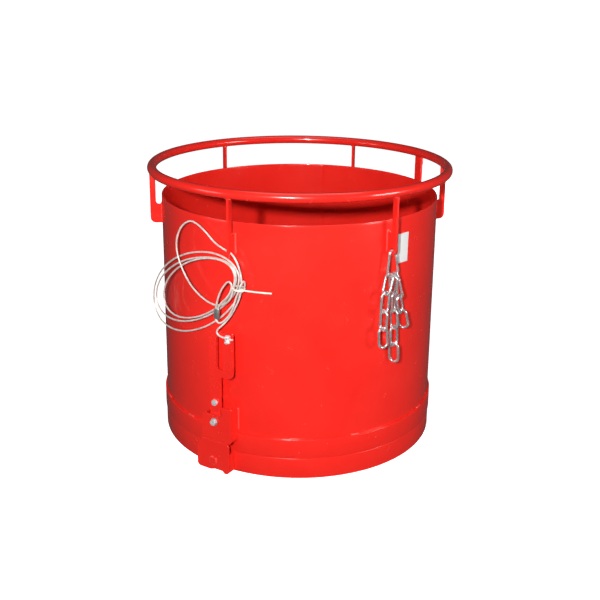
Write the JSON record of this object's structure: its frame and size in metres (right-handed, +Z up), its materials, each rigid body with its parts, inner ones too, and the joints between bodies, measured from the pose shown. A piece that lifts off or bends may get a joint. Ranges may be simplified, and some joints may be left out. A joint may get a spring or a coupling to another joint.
{
  "type": "bottom-discharge steel drum",
  "caption": "Open-top red steel drum with a guard ring on plates, a hinged bottom flap, a latch lever with a pull rope, and a hanging chain.",
  "frame": {"origin": "middle of the bottom flap's underside, on the floor", "axes": "+Z up along the drum's axis, latch lever towards -Y, flap hinge at +Y"},
  "size_m": [0.7132, 0.723, 0.6506],
  "materials": {
    "red_paint": "glossy enamel over rolled and welded steel",
    "wire_rope": "bright galvanised stranded wire",
    "zinc_fastener": "bright zinc plating",
    "zinc_chain": "zinc plated, lightly dulled",
    "spring_steel": "oiled spring steel",
    "aluminium_sleeve": "pressed, satin",
    "nylon": "natural moulded nylon",
    "label": "blank white sticker film"
  },
  "bodies": {
    "drum": {"shell": "red_paint", "base_band": "red_paint", "guard_ring": "red_paint", "ring_plate_1": "red_paint", "ring_plate_2": "red_paint", "ring_plate_3": "red_paint", "ring_plate_4": "red_paint", "ring_plate_5": "red_paint", "ring_plate_6": "red_paint", "ring_stay": "red_paint", "latch_housing": "red_paint", "pivot_boss": "red_paint", "pivot_bolt": "zinc_fastener", "pivot_washer": "zinc_fastener", "return_spring": "spring_steel", "hinge_lugs": "red_paint", "hinge_pin": "zinc_fastener", "hinge_washers": "zinc_fastener", "hinge_split_pins": "zinc_fastener", "label_plate": "label", "rope_run": "wire_rope", "rope_coil": "wire_rope", "rope_eye": "wire_rope", "rope_ferrule": "aluminium_sleeve", "cable_tie": "nylon"},
    "latch_lever": {"lever_plate": "red_paint", "stop_bolt": "zinc_fastener", "stop_nut": "zinc_fastener", "rope_end": "wire_rope", "clamp_saddle": "zinc_fastener", "clamp_bow": "zinc_fastener", "clamp_nuts": "zinc_fastener"},
    "flap": {"flap_plate": "red_paint", "flap_rim": "red_paint", "flap_arms": "red_paint", "catch_shelf": "red_paint", "catch_cheek": "red_paint", "catch_plate": "red_paint", "catch_pin": "red_paint"},
    "hook": {"upper_hook": "zinc_chain", "upper_hook_pin": "zinc_chain"},
    "hook_gate": {"upper_hook_gate": "zinc_chain"},
    "chain": {"chain_links": "zinc_chain", "lower_hook": "zinc_chain", "lower_hook_pin": "zinc_chain"},
    "end_gate": {"lower_hook_gate": "zinc_chain"}
  },
  "joints": [
    {"name": "flap_hinge", "type": "hinge", "parent": "drum", "child": "flap", "pos_m": [0, 0.348, 0.05], "axis": [1, 0, 0], "range_deg": [0, 95]},
    {"name": "lever_pivot", "type": "hinge", "parent": "drum", "child": "latch_lever", "pos_m": [0, -0.344, 0.123], "axis": [0, 1, 0], "range_deg": [0, 15], "stiffness_Nm_per_rad": 2, "springref_deg": -5.73},
    {"name": "hook_swing", "type": "hinge", "parent": "drum", "child": "hook", "pos_m": [0.31248, -0.13652, 0.51295], "axis": [-0.4003, -0.9164, 0], "range_deg": [0, 60]},
    {"name": "chain_swing", "type": "hinge", "parent": "hook", "child": "chain", "pos_m": [0.31328, -0.1347, 0.4543], "axis": [-0.4003, -0.9164, 0], "range_deg": [0, 25]},
    {"name": "hook_gate", "type": "hinge", "parent": "hook", "child": "hook_gate", "pos_m": [0.31651, -0.12729, 0.4991], "axis": [-0.9164, 0.4003, 0], "range_deg": [0, 25], "stiffness_Nm_per_rad": 0.02, "springref_deg": -11.46},
    {"name": "end_gate", "type": "hinge", "parent": "chain", "child": "end_gate", "pos_m": [0.32592, -0.12705, 0.44704], "axis": [0.2905, 0.9261, 0.2406], "range_deg": [0, 25], "stiffness_Nm_per_rad": 0.02, "springref_deg": -11.46}
  ]
}
